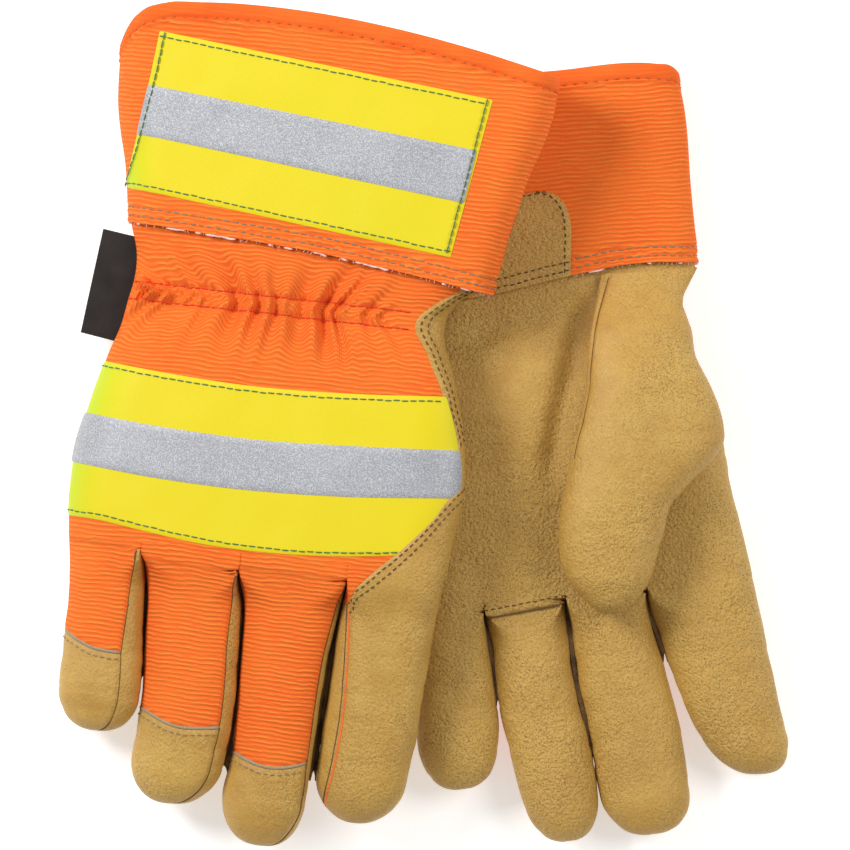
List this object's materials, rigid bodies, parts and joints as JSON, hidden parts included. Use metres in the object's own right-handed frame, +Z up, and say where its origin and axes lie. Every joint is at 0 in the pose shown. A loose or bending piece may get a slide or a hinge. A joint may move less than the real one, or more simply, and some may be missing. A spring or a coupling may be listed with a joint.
{
  "type": "work gloves",
  "caption": "Pair of leather and high-visibility fabric work gloves with safety cuffs, one lying across the other, fingers and thumbs bending",
  "frame": {"origin": "centre of the pair's box on the table that it lies on", "axes": "+Z up from the table, -Y towards the fingertips, +Y towards the cuffs, +X towards the thumb sides"},
  "size_m": [0.2368, 0.2716, 0.0475],
  "materials": {
    "leather": "fine pebbled grain, matt",
    "orange_fabric": "fluorescent, finely ribbed across the hand",
    "yellow_tape": "fluorescent, smooth coated weave",
    "silver_tape": "retro-reflective, fine sparkle",
    "lining": "off-white cotton",
    "elastic": "woven elastic",
    "label": "plain black woven tab"
  },
  "bodies": {
    "left_hand": {"left_back_panel": "orange_fabric", "left_cuff": "orange_fabric", "left_cuff_lining": "lining", "left_cuff_stripe": "silver_tape", "left_cuff_tape": "yellow_tape", "left_knuckle_stripe": "silver_tape", "left_knuckle_tape": "yellow_tape", "left_label": "label", "left_palm": "leather", "left_palm_lining": "lining", "left_pulse_patch": "leather", "left_wrist_elastic": "elastic"},
    "left_index": {"left_index_back": "leather", "left_index_front": "leather"},
    "left_middle": {"left_middle_back": "orange_fabric", "left_middle_front": "leather", "left_middle_tip": "leather"},
    "left_ring": {"left_ring_back": "orange_fabric", "left_ring_front": "leather", "left_ring_tip": "leather"},
    "left_little": {"left_little_back": "orange_fabric", "left_little_front": "leather", "left_little_tip": "leather"},
    "left_thumb": {"left_thumb_back": "leather", "left_thumb_front": "leather"},
    "right_hand": {"right_back_panel": "orange_fabric", "right_cuff": "orange_fabric", "right_cuff_lining": "lining", "right_cuff_stripe": "silver_tape", "right_cuff_tape": "yellow_tape", "right_knuckle_stripe": "silver_tape", "right_knuckle_tape": "yellow_tape", "right_label": "label", "right_palm": "leather", "right_palm_lining": "lining", "right_pulse_patch": "leather", "right_wrist_elastic": "elastic"},
    "right_index": {"right_index_back": "leather", "right_index_front": "leather"},
    "right_middle": {"right_middle_back": "orange_fabric", "right_middle_front": "leather", "right_middle_tip": "leather"},
    "right_ring": {"right_ring_back": "orange_fabric", "right_ring_front": "leather", "right_ring_tip": "leather"},
    "right_little": {"right_little_back": "orange_fabric", "right_little_front": "leather", "right_little_tip": "leather"},
    "right_thumb": {"right_thumb_back": "leather", "right_thumb_front": "leather"}
  },
  "joints": [
    {"name": "left_index_bend", "type": "hinge", "parent": "left_hand", "child": "left_index", "pos_m": [0.09208, -0.05951, 0.0218], "axis": [-0.9621, -0.2726, 0], "range_deg": [0, 75]},
    {"name": "left_middle_bend", "type": "hinge", "parent": "left_hand", "child": "left_middle", "pos_m": [0.06035, -0.06173, 0.0218], "axis": [-0.9769, -0.2135, 0], "range_deg": [0, 75]},
    {"name": "left_ring_bend", "type": "hinge", "parent": "left_hand", "child": "left_ring", "pos_m": [0.03402, -0.06357, 0.0218], "axis": [-0.9857, -0.1685, 0], "range_deg": [0, 75]},
    {"name": "left_little_bend", "type": "hinge", "parent": "left_hand", "child": "left_little", "pos_m": [0.00958, -0.06528, 0.0218], "axis": [-0.9994, -0.0349, 0], "range_deg": [0, 20]},
    {"name": "left_thumb_fold", "type": "hinge", "parent": "left_hand", "child": "left_thumb", "pos_m": [0.06994, 0.03477, 0.0241], "axis": [-0.9921, 0.1255, 0], "range_deg": [0, 50]},
    {"name": "right_glove_lift", "type": "slide", "parent": "left_hand", "child": "right_hand", "axis": [0, 0, 1], "range_m": [0, 0.12]},
    {"name": "right_index_bend", "type": "hinge", "parent": "right_hand", "child": "right_index", "pos_m": [-0.00812, -0.0458, 0.04471], "axis": [-0.9583, 0.2015, -0.2024], "range_deg": [0, 75]},
    {"name": "right_middle_bend", "type": "hinge", "parent": "right_hand", "child": "right_middle", "pos_m": [-0.0413, -0.04202, 0.0373], "axis": [-0.9662, 0.145, -0.213], "range_deg": [0, 75]},
    {"name": "right_ring_bend", "type": "hinge", "parent": "right_hand", "child": "right_ring", "pos_m": [-0.07449, -0.03824, 0.0299], "axis": [-0.9733, 0.0718, -0.2181], "range_deg": [0, 75]},
    {"name": "right_little_bend", "type": "hinge", "parent": "right_hand", "child": "right_little", "pos_m": [-0.103, -0.03499, 0.02354], "axis": [-0.9752, 0.0476, -0.216], "range_deg": [0, 75]},
    {"name": "right_thumb_fold", "type": "hinge", "parent": "right_hand", "child": "right_thumb", "pos_m": [-0.01994, 0.02802, 0.01775], "axis": [0.9288, -0.3038, 0.2122], "range_deg": [0, 45]}
  ]
}
